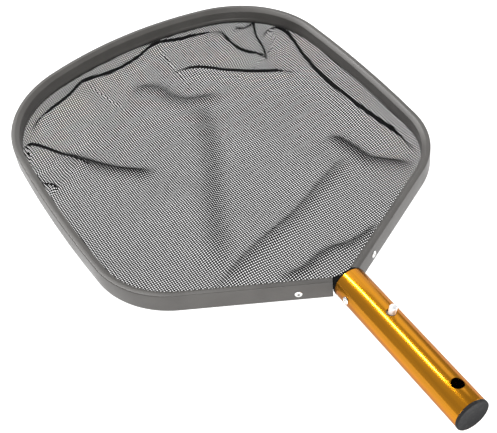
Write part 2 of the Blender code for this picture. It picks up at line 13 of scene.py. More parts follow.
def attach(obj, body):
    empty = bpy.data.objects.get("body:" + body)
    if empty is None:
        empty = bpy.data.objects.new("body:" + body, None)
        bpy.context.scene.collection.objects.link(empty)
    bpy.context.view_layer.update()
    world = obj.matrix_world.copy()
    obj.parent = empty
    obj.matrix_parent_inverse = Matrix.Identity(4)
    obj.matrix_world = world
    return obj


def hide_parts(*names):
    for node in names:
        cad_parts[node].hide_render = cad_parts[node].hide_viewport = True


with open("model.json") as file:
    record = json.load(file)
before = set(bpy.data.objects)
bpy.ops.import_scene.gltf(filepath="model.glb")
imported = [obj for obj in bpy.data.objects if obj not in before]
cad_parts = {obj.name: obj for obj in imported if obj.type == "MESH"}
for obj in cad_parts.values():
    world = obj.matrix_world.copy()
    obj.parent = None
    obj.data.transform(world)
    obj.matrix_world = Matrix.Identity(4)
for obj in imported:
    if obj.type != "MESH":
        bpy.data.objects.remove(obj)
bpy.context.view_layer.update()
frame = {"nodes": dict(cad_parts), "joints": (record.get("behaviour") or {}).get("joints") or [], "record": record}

MM = 0.001

# The design frame of the CAD part, in millimetres: the origin is where the two front sides would meet,
# +Y runs to the far side of the net, and the rail's underside is at Z = 0. An inset is how far a point of
# the rail or the net lies inside the rail's outer face.
FRONT_HEADING = math.radians(28.6)
FRONT_LENGTH = 138.7
ARM_CUT = 14.2
# Radius and turn of each stretch of the outline after the front side: corner, long side, far corner.
CORNERS = ((80.0, math.radians(57.7)), (1290.0, math.radians(7.5)), (105.0, math.radians(70.8)))
STEP = math.radians(2.2)
FRONT_FILLET = 20.0

RAIL_HEIGHT = 18.0
RAIL_WIDTH = 7.8
RAIL_WALL = 1.2

TUBE_RADIUS = 14.3
TUBE_WALL = 1.2
TUBE_FRONT = 1.5
TUBE_LENGTH = 150.8
TUBE_HEIGHT = 14.5
TUBE_TURN = math.radians(9.0)
END_HOLE_Y = -130.7
END_HOLE_RADIUS = 5.25
BUTTON_HOLE_Y = -51.13
BUTTON_HOLE_RADIUS = 4.05
PLUG_FACE_Y = -151.6
PLUG_FLANGE = 2.2
PLUG_RADIUS = 14.5
ARM_RIVET = (42.0, 7.4)
HANDLE_RIVET_Y = -13.6


def design_matrix():
    """Where the design frame stands: the skimmer leans on its lower button, which the plug's face shows."""
    face = next(mount for mount in frame["record"]["mounts"] if mount["name"] == "handle_end")
    lean = math.asin(face["axis"][2])
    turn = Matrix.Rotation(-lean, 4, "X")
    place = Vector(face["pos_m"]) - turn @ (Vector((0.0, PLUG_FACE_Y, TUBE_HEIGHT)) * MM)
    return Matrix.Translation(place) @ turn


DESIGN = design_matrix()
HANDLE = DESIGN @ Matrix.Translation((0.0, 0.0, TUBE_HEIGHT * MM)) @ Matrix.Rotation(TUBE_TURN, 4, "Y")


# ---------------------------------------------------------------------------------------------
# Node materials
# ---------------------------------------------------------------------------------------------


GOLD = ((0.42, 0.165, 0.001), (0.55, 0.215, 0.002))
PAINT = ((0.072, 0.068, 0.0645), (0.083, 0.079, 0.0745))
# Thread colours where it dips under a crossing and on its crown: painted shade and painted highlight on one black.
THREAD_BLACK = ((0.0015, 0.0015, 0.0015), (0.006, 0.006, 0.0065))
TAPE_BLACK = ((0.01, 0.01, 0.011), (0.03, 0.03, 0.032))


class Shader:
    """A short way to write a Principled material with its node links."""

    def __init__(self, name, colour, roughness, metallic=0.0, **sockets):
        self.material = bpy.data.materials.new(name)
        self.material.use_nodes = True
        self.nodes = self.material.node_tree.nodes
        self.links = self.material.node_tree.links
        self.surface = self.nodes["Principled BSDF"]
        self.put("Base Color", (*colour, 1.0))
        self.put("Roughness", roughness)
        self.put("Metallic", metallic)
        for socket, value in sockets.items():
            self.put(socket.replace("_", " "), value)

    def put(self, socket, value):
        """Set a socket of the Principled node, or link an output to it."""
        target = self.surface.inputs[socket]
        if isinstance(value, bpy.types.NodeSocket):
            self.links.new(value, target)
        else:
            target.default_value = value

    def node(self, kind, inputs=None, **settings):
        """A new node, with values set or outputs linked at its inputs, by name or number."""
        made = self.nodes.new("ShaderNode" + kind)
        for key, value in settings.items():
            setattr(made, key, value)
        for key, value in (inputs or {}).items():
            if isinstance(value, bpy.types.NodeSocket):
                self.links.new(value, made.inputs[key])
            else:
                made.inputs[key].default_value = value
        return made

    def math(self, operation, first, second=0.0, third=0.0):
        """The result of a Math node."""
        made = self.node("Math", {0: first, 1: second, 2: third}, operation=operation)
        return made.outputs[0]

    def ramp(self, value, low, high, out_low=0.0, out_high=1.0):
        """A smooth step from out_low at low to out_high at high."""
        inputs = {0: value, 1: low, 2: high, 3: out_low, 4: out_high}
        return self.node("MapRange", inputs, interpolation_type="SMOOTHSTEP").outputs[0]

    def place(self, scale=(1.0, 1.0, 1.0), source="Object"):
        """Where on the piece a point is, in metres, or in the UV map's units."""
        coordinates = self.node("TexCoord").outputs[source]
        return self.node("Mapping", {"Vector": coordinates, "Scale": scale}).outputs[0]

    def noise(self, vector, scale, detail=3.0, roughness=0.55):
        """Fractal noise from 0 to 1."""
        inputs = {"Vector": vector, "Scale": scale, "Detail": detail, "Roughness": roughness}
        return self.node("TexNoise", inputs).outputs["Fac"]

    def mix(self, factor, first, second):
        """A colour between two, each given as red, green and blue or as an output."""
        made = self.node("Mix", {"Factor": factor}, data_type="RGBA")
        for socket, colour in ((made.inputs[6], first), (made.inputs[7], second)):
            if isinstance(colour, bpy.types.NodeSocket):
                self.links.new(colour, socket)
            else:
                socket.default_value = (*colour, 1.0)
        return made.outputs[2]

    def bump(self, height, strength, distance):
        """Bump of the given depth in millimetres."""
        inputs = {"Height": height, "Strength": strength, "Distance": distance * MM}
        self.put("Normal", self.node("Bump", inputs).outputs[0])


def rail_paint():
    """Warm grey satin coat over drawn aluminium, with faint die lines along the rail."""
    shader = Shader("rail_paint", PAINT[0], 0.36, 0.12, Specular_IOR_Level=0.36)
    lines = shader.noise(shader.place((1.0, 60.0, 1.0), "UV"), 14.0, 2.0)
    cloud = shader.noise(shader.place(), 38.0, 4.0)
    grain = shader.noise(shader.place(), 2600.0, 2.0)
    shader.put("Base Color", shader.mix(shader.ramp(cloud, 0.3, 0.7), *PAINT))
    shader.put("Roughness", shader.ramp(cloud, 0.2, 0.8, 0.32, 0.44))
    shader.bump(shader.math("MULTIPLY_ADD", lines, 0.5, shader.math("MULTIPLY", grain, 0.5)), 0.25, 0.06)
    return shader.material


def black_plastic(name="black_plastic", level=0.002):
    """Moulded black nylon with a fine spark-eroded texture and paler scuffs."""
    dark = (level, level, level * 1.05)
    scuffed = (2.4 * level + 0.004,) * 3
    shader = Shader(name, dark, 0.5, Specular_IOR_Level=0.05)
    spots = shader.noise(shader.place(), 1500.0, 3.0, 0.6)
    scuff = shader.noise(shader.place(), 160.0, 4.0, 0.7)
    shader.put("Base Color", shader.mix(shader.ramp(scuff, 0.52, 0.78), dark, scuffed))
    shader.put("Roughness", shader.ramp(scuff, 0.3, 0.75, 0.42, 0.62))
    shader.bump(spots, 0.5, 0.12)
    return shader.material


def gold_anodised():
    """Bright gold anodised tube with faint drawing lines along it, under the clear sealed oxide."""
    edge_tint = (0.42, 0.33, 0.04, 1.0)
    sockets = {"Coat_Weight": 0.32, "Coat_Roughness": 0.12, "Specular_Tint": edge_tint}
    shader = Shader("gold_anodised", GOLD[0], 0.2, 1.0, **sockets)
    along_tube = (1.0, 0.02, 1.0)
    lines = shader.noise(shader.place(along_tube), 900.0, 3.0)
    streaks = shader.noise(shader.place(along_tube), 240.0, 2.0)
    shader.put("Base Color", shader.mix(shader.ramp(streaks, 0.3, 0.7), *GOLD))
    shader.put("Roughness", shader.ramp(lines, 0.3, 0.7, 0.18, 0.22))
    shader.bump(lines, 0.006, 0.004)
    return shader.material


def bright_metal(name, colour, roughness, scale, rough_spread):
    """Bare metal with handling marks, about 1/scale metres across, which are duller by rough_spread."""
    shader = Shader(name, colour, roughness, 1.0)
    marks = shader.noise(shader.place(), scale, 5.0, 0.7)
    dark = tuple(0.8 * channel for channel in colour)
    shader.put("Base Color", shader.mix(shader.ramp(marks, 0.35, 0.7), colour, dark))
    shader.put("Roughness", shader.ramp(marks, 0.3, 0.7, roughness, roughness + rough_spread))
    shader.bump(marks, 0.2, 0.04)
    return shader.material


def net_weave():
    """Weave of fine black monofilament, open between its threads, which close up along the folds: partly bunched
    cloth, partly painted shade in the creases.
    """
    shader = Shader("net_weave", THREAD_BLACK[1], 0.5, Specular_IOR_Level=0.04)
    cells = NET_UV_SIZE / NET_PITCH
    split = shader.node("SeparateXYZ", {0: shader.place((cells, cells, 1.0), "UV")})
    gather_shade = shader.node("Attribute", attribute_name="gather_shade").outputs["Fac"]
    thread = NET_THREAD / 2.0
    # The threads widen along the folds: bunched cloth, and painted shade in the creases.
    half = shader.math("MULTIPLY_ADD", gather_shade, NET_CLOSED - thread, thread)
    threads = []
    crowns = []
    for axis, other in ((0, 1), (1, 0)):
        across = shader.math("PINGPONG", split.outputs[axis], 0.5)
        inner = shader.math("SUBTRACT", half, across)
        threads.append(shader.ramp(inner, -NET_EDGE, NET_EDGE))
        crowns.append(shader.math("SINE", shader.math("MULTIPLY", split.outputs[other], math.pi)))
    shader.put("Alpha", shader.math("MAXIMUM", *threads))
    # Painted light on the weave: threads lighter on their crowns at a crossing, darker where they dip under.
    crown_light = shader.math("MULTIPLY", *crowns)
    shader.put("Base Color", shader.mix(shader.ramp(crown_light, -0.8, 0.8), *THREAD_BLACK))
    shader.put("Roughness", shader.ramp(crown_light, -0.8, 0.8, 0.65, 0.45))
    return shader.material


def hem_tape():
    """Woven black tape with fine ribs."""
    shader = Shader("hem_tape", (0.014, 0.014, 0.015), 0.75)
    ribs = {"Vector": shader.place((1.0, 1.0, 1.0), "UV"), "Scale": 620.0, "Distortion": 0.4}
    wave = shader.node("TexWave", ribs).outputs["Fac"]
    shader.put("Base Color", shader.mix(wave, *TAPE_BLACK))
    shader.bump(wave, 0.5, 0.15)
    return shader.material


# ---------------------------------------------------------------------------------------------
# Mesh helpers
# ---------------------------------------------------------------------------------------------


def add_piece(name, mesh, material, matrix, body, replaces=()):
    """A finished piece: its material, its place, the body it rides on and the nodes it stands for."""
    made = bpy.data.objects.new(name, mesh)
    bpy.context.scene.collection.objects.link(made)
    made.matrix_world = matrix
    mesh.materials.clear()
    mesh.materials.append(material)
    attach(made, body)
    if replaces:
        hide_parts(*replaces)
    return made


def smooth(mesh, angle=35.0):
    """Smooth shading, with edges sharper than the angle in degrees kept."""
    mesh.shade_smooth()
    mesh.set_sharp_from_angle(angle=math.radians(angle))
    return mesh


def rounded(corners, radius, steps=4):
    """A closed outline whose corners are small arcs, each no larger than its sides allow."""
    points = []
    count = len(corners)
    for i, corner in enumerate(corners):
        before = Vector(corners[i - 1]) - Vector(corner)
        after = Vector(corners[(i + 1) % count]) - Vector(corner)
        angle = before.angle(after)
        reach = min(radius / math.tan(angle / 2), before.length * 0.45, after.length * 0.45)
        bend = reach * math.tan(angle / 2)
        way = (before.normalized() + after.normalized()).normalized()
        centre = Vector(corner) + way * (bend / math.sin(angle / 2))
        first = Vector(corner) + before.normalized() * reach - centre
        last = Vector(corner) + after.normalized() * reach - centre
        for step in range(steps + 1):
            spoke = first.lerp(last, step / steps).normalized() * bend
            points.append(centre + spoke)
    return points


def half_outline(inset, start):
    """Right half of the frame's outline at an inset, from its arm's end to the middle of the far side."""
    heading = FRONT_HEADING
    along = Vector((math.cos(heading), math.sin(heading)))
    inward = Vector((-math.sin(heading), math.cos(heading)))
    corner = along * FRONT_LENGTH + inward * inset
    points = [along * start + inward * inset]
    points += [points[0].lerp(corner, step / 6) for step in range(1, 7)]
    for radius, turn in (*CORNERS, (0.0, 0.0)):
        if radius == 0.0:
            turn = math.pi - heading
            radius = points[-1].x / math.sin(turn) + inset
        steps = max(6, round(turn / STEP))
        inward = Vector((-math.sin(heading), math.cos(heading)))
        centre = points[-1] + inward * (radius - inset)
        for step in range(1, steps + 1):
            angle = heading + turn * step / steps
            points.append(centre + Vector((math.sin(angle), -math.cos(angle))) * (radius - inset))
        heading += turn
    return points


def outline(inset, start=ARM_CUT):
    """The frame's outline at an inset, from the right arm's end round to the left arm's end."""
    right = half_outline(inset, start)
    return right + [Vector((-point.x, point.y)) for point in reversed(right[:-1])]


def closed_outline(inset):
    """The outline at an inset, closed at the front by a fillet between the two front sides."""
    reach = (FRONT_FILLET + inset) * math.tan(FRONT_HEADING)
    points = outline(inset, reach)
    middle = Vector((0.0, (inset + FRONT_FILLET) / math.cos(FRONT_HEADING)))
    steps = 10
    for step in range(1, steps):
        angle = -FRONT_HEADING + 2.0 * FRONT_HEADING * step / steps
        points.append(middle + Vector((math.sin(angle), -math.cos(angle))) * FRONT_FILLET)
    return points


def even(points, spacing, closed=True):
    """Points at an even spacing along a line."""
    line = np.array([tuple(point) for point in points])
    if closed:
        line = np.vstack([line, line[:1]])
    length = np.concatenate([[0.0], np.cumsum(np.linalg.norm(np.diff(line, axis=0), axis=1))])
    count = max(3, round(length[-1] / spacing))
    wanted = np.linspace(0.0, length[-1], count + 1)
    made = np.column_stack([np.interp(wanted, length, line[:, k]) for k in range(line.shape[1])])
    return made[:-1] if closed else made


def grid_surface(shape, rows, close_across, uv_layer=None):
    """Faces between rows of points. Each row runs along the piece, and the rows go across it."""
    made = [[shape.verts.new(Vector(point) * MM) for point in row] for row in rows]
    pairs = list(zip(made, made[1:])) + ([(made[-1], made[0])] if close_across else [])
    reach = 0.0
    spans = []
    for first, second in pairs:
        wide = (first[0].co - second[0].co).length
        spans.append((reach, reach + wide))
        reach += wide
    for (low, high), (first, second) in zip(spans, pairs):
        travelled = 0.0
        for a, b, c, d in zip(first, first[1:], second[1:], second):
            step = (b.co - a.co).length
            face = shape.faces.new((a, b, c, d))
            if uv_layer:
                ends = (travelled, travelled + step)
                corners = ((ends[0], low), (ends[1], low), (ends[1], high), (ends[0], high))
                for loop, corner in zip(face.loops, corners):
                    loop[uv_layer].uv = corner
            travelled += step
    return made


def finished(shape, name, angle=35.0):
    """The mesh of a bmesh, with its faces pointing out."""
    mesh = bpy.data.meshes.new(name)
    bmesh.ops.recalc_face_normals(shape, faces=shape.faces)
    shape.to_mesh(mesh)
    shape.free()
    return smooth(mesh, angle)


def turned(profile, sides, close=False):
    """A mesh turned about +Z from (radius, height) points in millimetres, closed into a ring if asked."""
    shape = bmesh.new()
    uv = shape.loops.layers.uv.new("UVMap")
    rings = []
    for radius, height in profile:
        if radius == 0.0:
            rings.append([shape.verts.new((0.0, 0.0, height * MM))])
            continue
        ring = []
        for side in range(sides):
            angle = 2.0 * math.pi * side / sides
            place = Vector((radius * math.cos(angle), radius * math.sin(angle), height)) * MM
            ring.append(shape.verts.new(place))
        rings.append(ring)
    travelled = 0.0
    pairs = list(zip(rings, rings[1:])) + ([(rings[-1], rings[0])] if close else [])
    for first, second in pairs:
        step = abs(first[0].co.z - second[0].co.z) + abs(first[0].co.x - second[0].co.x)
        for side in range(sides):
            other = (side + 1) % sides
            corners = [
                (first[side % len(first)], (side / sides, travelled)),
                (first[other % len(first)], ((side + 1) / sides, travelled)),
                (second[other % len(second)], ((side + 1) / sides, travelled + step)),
                (second[side % len(second)], (side / sides, travelled + step)),
            ]
            unique = []
            for vert, place in corners:
                if all(vert is not seen for seen, _ in unique):
                    unique.append((vert, place))
            if len(unique) < 3:
                continue
            face = shape.faces.new([vert for vert, _ in unique])
            for loop, (_, place) in zip(face.loops, unique):
                loop[uv].uv = place
        travelled += step
    return finished(shape, "turned")


def arc(centre, radius, start, end, steps):
    """(radius, height) points of an arc, angles in degrees from +X."""
    return [
        (
            centre[0] + radius * math.cos(math.radians(start + (end - start) * step / steps)),
            centre[1] + radius * math.sin(math.radians(start + (end - start) * step / steps)),
        )
        for step in range(steps + 1)
    ]


# ---------------------------------------------------------------------------------------------
# Frame rail
# ---------------------------------------------------------------------------------------------


CHAMFER = (3.8, 15.4)
LIP_STEP = (6.9, 6.2)
LIP_INSET = 8.1
LIP_LOW = 3.5
LIP_BACK = 7.4
GROOVE_BACK = 5.9
GROOVE_LOW = 2.2
GROOVE_HIGH = 4.6
FOOT_INSET = 6.4


def make_rail():
    """The coated rail round the net: a hollow section with a chamfered top and a groove low on its inside."""
    wall = RAIL_WALL
    section = [
        (0.0, 0.0),
        (0.0, RAIL_HEIGHT),
        (CHAMFER[0], RAIL_HEIGHT),
        (RAIL_WIDTH, CHAMFER[1]),
        (RAIL_WIDTH, LIP_STEP[0]),
        (LIP_INSET, LIP_STEP[1]),
        (LIP_INSET, LIP_LOW),
        (LIP_BACK, LIP_LOW),
        (LIP_BACK, GROOVE_HIGH),
        (GROOVE_BACK, GROOVE_HIGH),
        (GROOVE_BACK, GROOVE_LOW),
        (FOOT_INSET, GROOVE_LOW),
        (FOOT_INSET, 0.0),
    ]
    hollow = [
        (wall, wall),
        (wall, RAIL_HEIGHT - wall),
        (3.5, RAIL_HEIGHT - wall),
        (RAIL_WIDTH - wall, 14.6),
        (RAIL_WIDTH - wall, 6.6),
        (GROOVE_BACK - wall, 6.6),
        (GROOVE_BACK - wall, wall),
    ]
    shape = bmesh.new()
    uv = shape.loops.layers.uv.new("UVMap")
    shells = []
    for loop in (rounded(section, 0.9), rounded(hollow, 0.4, 2)):
        rows = [[(*point, height) for point in outline(inset)] for inset, height in loop]
        shells.append(grid_surface(shape, rows, True, uv))
    for end in (0, -1):
        edges = []
        for shell in shells:
            rim = [row[end] for row in shell]
            edges += [shape.edges.get((a, b)) for a, b in zip(rim, rim[1:] + rim[:1])]
        bmesh.ops.bridge_loops(shape, edges=edges)
    name = "frame_rail_coated"
    mesh = finished(shape, name, 40.0)
    return add_piece(name, mesh, rail_paint(), DESIGN, "skimmer", ["frame_rail"])


# ---------------------------------------------------------------------------------------------
# Net
# ---------------------------------------------------------------------------------------------

NET_INSET = 7.3
NET_EDGE_HEIGHT = 3.1
NET_LOW = 0.5
NET_RISE = 1.2
RIM_SLOPE = 15.0
RIM_HOLD = 8.0
NET_SPACING = 3.0
NET_THICKNESS = 0.16
NET_UV_SIZE = 450.0

# The weave: the pitch of its cells in millimetres, and then shares of a cell: a thread's width, how soft its
# edge is, and its half width where the threads close up fully, partly bunched cloth and partly painted crease
# shade.
NET_PITCH = 2.15
NET_THREAD = 0.44
NET_EDGE = 0.05
NET_CLOSED = 0.7

# Folds of the net, in millimetres: the height of the crest, how far its near side reaches towards the handle,
# how far its steep side reaches away from it, how far the crest leans over that side, how closely the threads
# close up there (0 to 1), partly bunched cloth and partly painted crease shade, and the points of its line in the
# design frame.
FOLDS = (
    # right side, from the far corner to the front corner
    (6.5, 12.0, 2.6, 4.5, 1.0, (
        (120, 338), (131, 344), (139, 341), (144, 331), (144, 311), (138, 278),
        (135, 244), (136, 212), (137, 186), (141, 158), (145, 128), (147, 100))),
    # along the far side
    (4.5, 9.0, 2.2, 3.4, 1.0, (
        (-136, 346), (-123, 356), (-112, 360), (-94, 365), (-79, 370), (-60, 381),
        (-30, 379), (2, 385), (27, 391), (50, 383), (80, 377), (99, 369))),
    # from the left corner inwards, sharp and then soft
    (5.0, 10.0, 2.4, 3.5, 1.0, (
        (-156, 325), (-146, 327), (-136, 318), (-125, 301), (-114, 279), (-104, 262))),
    (4.0, 10.0, 5.0, 0.0, 0.28, ((-125, 301), (-112, 276), (-94, 248), (-62, 220))),
    # short creases near the far right corner
    (4.5, 9.0, 2.4, 3.5, 1.0, ((22, 342), (40, 333), (51, 325), (69, 305), (94, 282), (118, 266))),
    (5.0, 8.0, 2.4, 3.6, 1.0, ((93, 370), (91, 345), (94, 326), (108, 305))),
    (5.0, 8.0, 2.4, 3.6, 1.0, ((133, 362), (123, 348), (117, 334), (115, 322), (108, 298))),
    (3.5, 5.0, 2.2, 2.8, 0.9, ((107, 366), (115, 359), (127, 360))),
    # short crease at the left side
    (4.0, 7.0, 2.4, 2.8, 0.8, ((-157, 286), (-153, 271), (-143, 256))),
    # soft folds across the middle and the front
    (4.2, 14.0, 8.0, 0.0, 0.14, ((-28, 342), (-8, 324), (-2, 302), (12, 288), (42, 278))),
    (4.6, 17.0, 10.0, 0.0, 0.09, (
        (18, 292), (-3, 232), (-19, 198), (-39, 160), (-58, 120), (-76, 82))),
    (4.8, 11.0, 6.0, 0.0, 0.24, ((91, 170), (98, 138), (101, 121), (110, 109), (130, 88))),
    (4.6, 11.0, 5.5, 0.0, 0.11, (
        (94, 134), (51, 116), (23, 104), (-3, 94), (-27, 87), (-51, 79), (-90, 64))),
    (3.6, 9.0, 5.0, 0.0, 0.18, ((66, 48), (32, 44), (15, 47), (0, 46), (-17, 42), (-42, 45))),
)
# Rows of mesh points beside each fold's line, and how much wider they stand on a soft fold.
FOLD_ROWS = (-8.0, -5.5, -3.8, -2.5, -1.6, -0.9, -0.3, 0.3, 0.8, 1.3, 1.8, 2.3, 2.9, 3.7, 4.8, 6.5)
SOFT_SPREAD = 1.6
# Near and far width of the closed-up strip on a leaning fold, painted crease shade as well as bunched cloth, and
# how far a fold draws the cloth round it.
GATHER_SHADE_WIDTH = (1.5, 2.0)
DRAW = 60.0


def distance_to_line(points, line):
    """Of each point: its distance to a line, positive on its left, its share of the way along, the normal."""
    best = np.full(len(points), 1e9)
    signed = np.zeros(len(points))
    share = np.zeros(len(points))
    normals = np.zeros((len(points), 2))
    lengths = np.concatenate([[0.0], np.cumsum(np.linalg.norm(np.diff(line, axis=0), axis=1))])
    for i, (a, b) in enumerate(zip(line, line[1:])):
        way = b - a
        size = np.linalg.norm(way)
        way = way / size
        left = np.array([-way[1], way[0]])
        offset = points - a
        along = np.clip(offset @ way, 0.0, size)
        gap = offset - along[:, None] * way
        distance = np.linalg.norm(gap, axis=1)
        nearer = distance < best
        best[nearer] = distance[nearer]
        signed[nearer] = np.where((gap @ left)[nearer] >= 0.0, distance[nearer], -distance[nearer])
        share[nearer] = (lengths[i] + along[nearer]) / lengths[-1]
        normals[nearer] = left
    return signed, share, normals


def smooth_line(points, spacing):
    """A Catmull-Rom curve through points, evenly spaced, with the far side of the net on its left."""
    points = np.array(points, float)
    ends = np.vstack([2 * points[0] - points[1], points, 2 * points[-1] - points[-2]])
    made = []
    for p0, p1, p2, p3 in zip(ends, ends[1:], ends[2:], ends[3:]):
        for t in np.linspace(0.0, 1.0, 8, endpoint=False):
            a = 2 * p1 + (p2 - p0) * t
            b = (2 * p0 - 5 * p1 + 4 * p2 - p3) * t * t
            c = (3 * p1 - p0 - 3 * p2 + p3) * t * t * t
            made.append(0.5 * (a + b + c))
    made.append(points[-1])
    line = even(made, spacing, closed=False)
    chord = line[-1] - line[0]
    return line if chord @ np.array([0.9, -0.43]) > 0.0 else line[::-1]


def hump(distance, near, far):
    """A bell curve whose width differs on its two sides."""
    return np.exp(-((distance / np.where(distance > 0.0, far, near)) ** 2))


def fold_net(plan):
    """Where the net's points go: heights, plan places, places on the flat cloth, and how far its threads close up,
    partly bunched cloth and partly painted shade in the creases.
    """
    height = np.zeros(len(plan))
    gather_shade = np.zeros(len(plan))
    placed = plan.copy()
    cloth = plan.copy()
    for crest, near, far, lean, close, points in FOLDS:
        signed, share, normals = distance_to_line(plan, smooth_line(points, 3.0))
        # the crest starts back from the line, so that its overhang ends on it
        signed = signed + lean + min(lean, 1.0)
        taper = np.clip(np.sin(np.pi * np.clip(share, 0.0, 1.0)) * 2.2, 0.0, 1.0)
        bump = crest * hump(signed, near, far) * taper
        height = np.maximum(height, bump) + 0.25 * np.minimum(height, bump)
        placed += (lean * hump(signed, 0.6 * near, far) * taper)[:, None] * normals
        dark = GATHER_SHADE_WIDTH if lean else (0.7 * near, 0.9 * far)
        # Along each fold the threads close up: partly bunched cloth, partly painted shade in the crease.
        gather_shade = np.maximum(gather_shade, close * hump(signed - 0.3 * far, *dark) * taper)
        samples = np.linspace(-3.0 * near, 3.0 * far, 600)
        step = samples[1] - samples[0]
        rise = np.gradient(crest * hump(samples, near, far), step)
        run = 1.0 + np.gradient(lean * hump(samples, 0.6 * near, far), step)
        excess = np.cumsum((np.hypot(rise, run) - 1.0) * step)
        shift = np.interp(signed, samples, excess - excess[-1] / 2.0)
        cloth += (shift * taper * np.exp(-((signed / DRAW) ** 2)))[:, None] * normals
    return height, placed, cloth, gather_shade


def swell(plan):
    """Slow undulation of the slack net: each wave has its rates along X and Y, its phase and its height."""
    x, y = plan[:, 0], plan[:, 1]
    waves = (
        (0.050, 0.031, 0.4, 0.9),
        (-0.037, 0.058, 1.9, 0.7),
        (0.083, -0.044, 3.1, 0.45),
        (0.021, 0.097, 5.2, 0.45),
        (-0.112, -0.071, 0.8, 0.25),
    )
    return sum(size * np.sin(a * x + b * y + phase) for a, b, phase, size in waves)


def inside(points, polygon):
    """The points that lie inside a closed outline."""
    found = np.zeros(len(points), bool)
    for a, b in zip(polygon, np.roll(polygon, -1, axis=0)):
        crosses = (a[1] > points[:, 1]) != (b[1] > points[:, 1])
        at = a[0] + (points[:, 1] - a[1]) * (b[0] - a[0]) / (b[1] - a[1] + 1e-12)
        found ^= crosses & (points[:, 0] < at)
    return points[found]


def thinned(groups):
    """Points of the groups in order, leaving out each that comes closer than its group's gap to one kept."""
    cell = max(gap for gap, _ in groups)
    cells = {}
    kept = []
    for gap, points in groups:
        for point in points:
            i, j = int(point[0] // cell), int(point[1] // cell)
            around = [(i + k, j + m) for k in (-1, 0, 1) for m in (-1, 0, 1)]
            near = [q for place in around for q in cells.get(place, ())]
            if all(math.hypot(point[0] - q[0], point[1] - q[1]) >= gap for q in near):
                cells.setdefault((i, j), []).append(point)
                kept.append(point)
    return np.array(kept)


def net_plan():
    """Plan points and triangles of the net: an even rim, rows along the folds and a lattice between them."""
    rim = even(closed_outline(NET_INSET), NET_SPACING)
    guard = even(closed_outline(NET_INSET + 0.6 * NET_SPACING), NET_SPACING)
    rows = []
    for _, _, _, lean, _, points in FOLDS:
        line = smooth_line(points, 1.8)
        way = np.gradient(line, axis=0)
        way /= np.linalg.norm(way, axis=1)[:, None]
        left = np.column_stack([-way[:, 1], way[:, 0]])
        spread = 1.0 if lean else SOFT_SPREAD
        for row in FOLD_ROWS:
            rows.append(line + left * (row * spread - lean - min(lean, 1.0)))
    lattice = []
    low, high = rim.min(0), rim.max(0)
    for k, y in enumerate(np.arange(low[1], high[1], NET_SPACING * math.sqrt(3.0) / 2.0)):
        lattice += [(x, y) for x in np.arange(-200.0, 200.0, NET_SPACING) + (k % 2) * NET_SPACING / 2.0]
    along_folds = inside(np.vstack(rows), guard)
    between = inside(np.array(lattice), guard)
    points = thinned([(0.1, rim), (0.45, along_folds), (0.6 * NET_SPACING, between)])
    made = delaunay_2d_cdt([Vector(p) for p in points], [], [list(range(len(rim)))], 1, 1e-5)
    return np.array([tuple(v) for v in made[0]]), made[2]


def distance_to_rim(plan):
    """How far each point is from the net's rim."""
    rim = even(closed_outline(NET_INSET), 0.5 * NET_SPACING)
    reaches = []
    for part in np.array_split(plan, 40):
        gaps = np.linalg.norm(part[:, None, :] - rim[None], axis=2)
        reaches.append(np.min(gaps, axis=1))
    return np.concatenate(reaches)


def flat_area(cloth, faces):
    """Area of the flat cloth's triangles."""
    corners = cloth[np.array(faces)]
    sides = corners[:, 1:] - corners[:, :1]
    return abs(np.sum(sides[:, 0, 0] * sides[:, 1, 1] - sides[:, 0, 1] * sides[:, 1, 0])) / 2.0


def make_net():
    """The net, and the size and area of its flat cloth in metres."""
    plan, faces = net_plan()
    height, placed, cloth, gather_shade = fold_net(plan)
    to_rim = distance_to_rim(plan)
    slope = np.clip(to_rim / RIM_SLOPE, 0.0, 1.0)
    slope = slope * slope * (3.0 - 2.0 * slope)
    free = np.clip(to_rim / RIM_HOLD, 0.0, 1.0)
    z = NET_EDGE_HEIGHT * (1.0 - slope) + NET_LOW * slope + free * height + slope * (NET_RISE + swell(plan))
    z = np.maximum(z, NET_LOW)
    flat = plan + (placed - plan) * free[:, None]
    mesh = bpy.data.meshes.new("net_sheet")
    mesh.from_pydata([(x * MM, y * MM, h * MM) for (x, y), h in zip(flat, z)], [], faces)
    uv = mesh.uv_layers.new(name="UVMap")
    for loop in mesh.loops:
        place = cloth[loop.vertex_index]
        uv.data[loop.index].uv = (place[0] / NET_UV_SIZE + 0.5, place[1] / NET_UV_SIZE + 0.03)
    # How far the weave closes up at each point: partly bunched cloth, partly painted crease shade.
    gather_shade_layer = mesh.attributes.new("gather_shade", "FLOAT", "POINT")
    gather_shade_layer.data.foreach_set("value", (gather_shade * free).astype(np.float32))
    mesh.shade_smooth()
    net = add_piece("net_sheet", mesh, net_weave(), DESIGN, "skimmer", ["net_mesh"])
    shell = net.modifiers.new("thread", "SOLIDIFY")
    shell.thickness = NET_THICKNESS * MM
    shell.offset = 0.0
    size = (cloth.max(0) - cloth.min(0)) * MM
    return net, size, flat_area(cloth, faces) * MM * MM


HEM_SECTION = ((6.05, 2.45), (6.05, 4.3), (7.2, 4.3), (7.5, 3.4), (7.5, 2.9), (7.1, 2.45))
CORD_RADIUS = 0.7
CORD_PLACE = (6.82, 3.36)


def make_ring(name, section, node):
    """A piece of even section all the way round the net, from (inset, height) points in millimetres."""
    shape = bmesh.new()
    uv = shape.loops.layers.uv.new("UVMap")
    rows = []
    for inset, height in section:
        ring = [(*point, height) for point in closed_outline(inset)]
        rows.append(ring + ring[:1])
    grid_surface(shape, rows, True, uv)
    bmesh.ops.remove_doubles(shape, verts=shape.verts, dist=1e-6)
    return add_piece(name, finished(shape, name), hem_tape(), DESIGN, "skimmer", [node])


def make_cord():
    """The round cord inside the hem, which holds the net in the rail's groove."""
    return make_ring("net_cord_round", arc(CORD_PLACE, CORD_RADIUS, 0, 330, 11), "net_cord")


